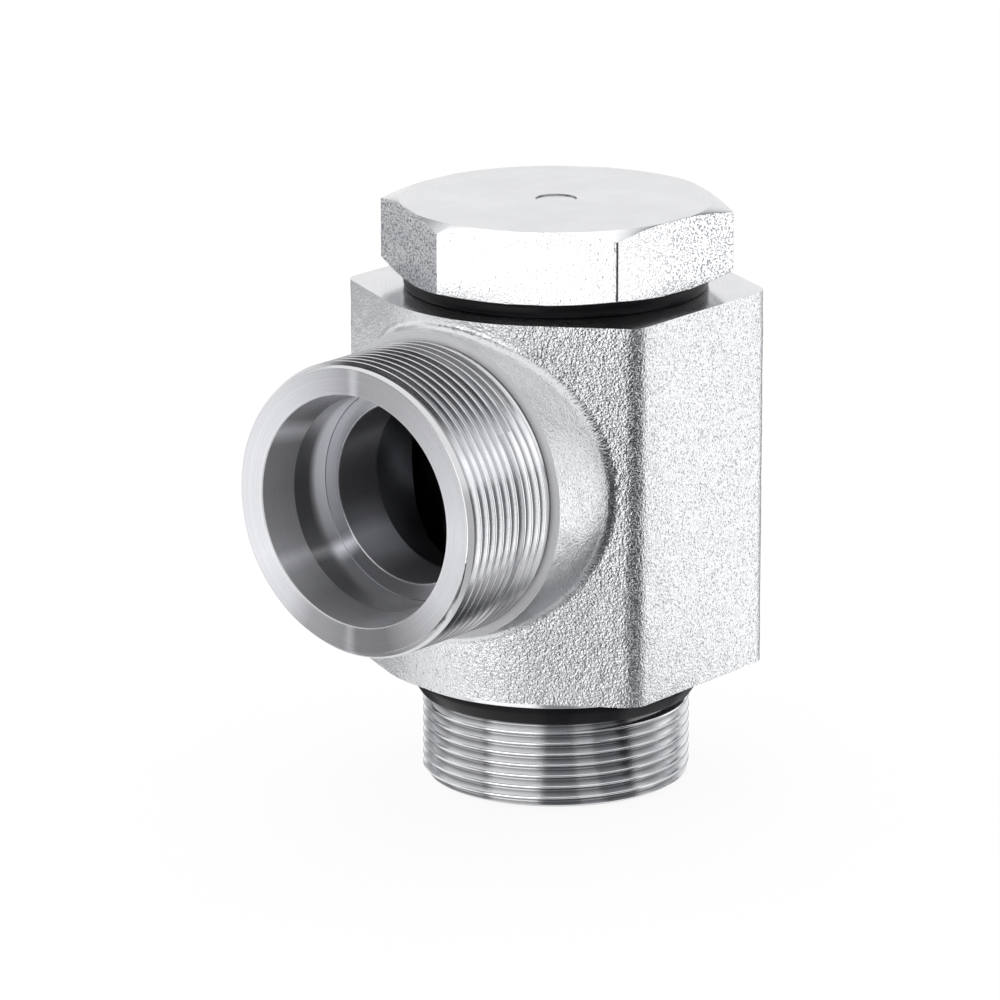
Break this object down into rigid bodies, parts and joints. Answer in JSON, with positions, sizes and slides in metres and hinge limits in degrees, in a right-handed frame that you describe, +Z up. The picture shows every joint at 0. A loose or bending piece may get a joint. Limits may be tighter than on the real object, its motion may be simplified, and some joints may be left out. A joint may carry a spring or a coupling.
{
  "type": "banjo fitting",
  "caption": "Swivel banjo fitting: forged hexagonal block with a threaded 24 degree cone tube stub, turning on a hollow hex-headed bolt with a port thread and black seals.",
  "frame": {"origin": "on the bolt's axis, at the mouth of its flow bore, in the plane of the bolt's lower end", "axes": "+Z up along the bolt towards its head, -Y out along the tube stub, +X to the right of someone who looks along +Y"},
  "size_m": [0.065, 0.0895, 0.1055],
  "materials": {
    "body_steel": "zinc plated, pebbled forged sides with turned and milled faces",
    "bolt_steel": "zinc plated, turned, with a finely grained hex",
    "seal_rubber": "black, semi-gloss",
    "ring_steel": "turned"
  },
  "bodies": {
    "bolt": {"banjo_bolt": "bolt_steel", "head_seal": "seal_rubber", "head_support_ring": "ring_steel", "port_seal": "seal_rubber"},
    "banjo": {"banjo_body": "body_steel"}
  },
  "joints": [
    {"name": "swivel", "type": "hinge", "parent": "bolt", "child": "banjo", "pos_m": [0, 0, 0.0604], "axis": [0, 0, 1], "continuous": true}
  ]
}
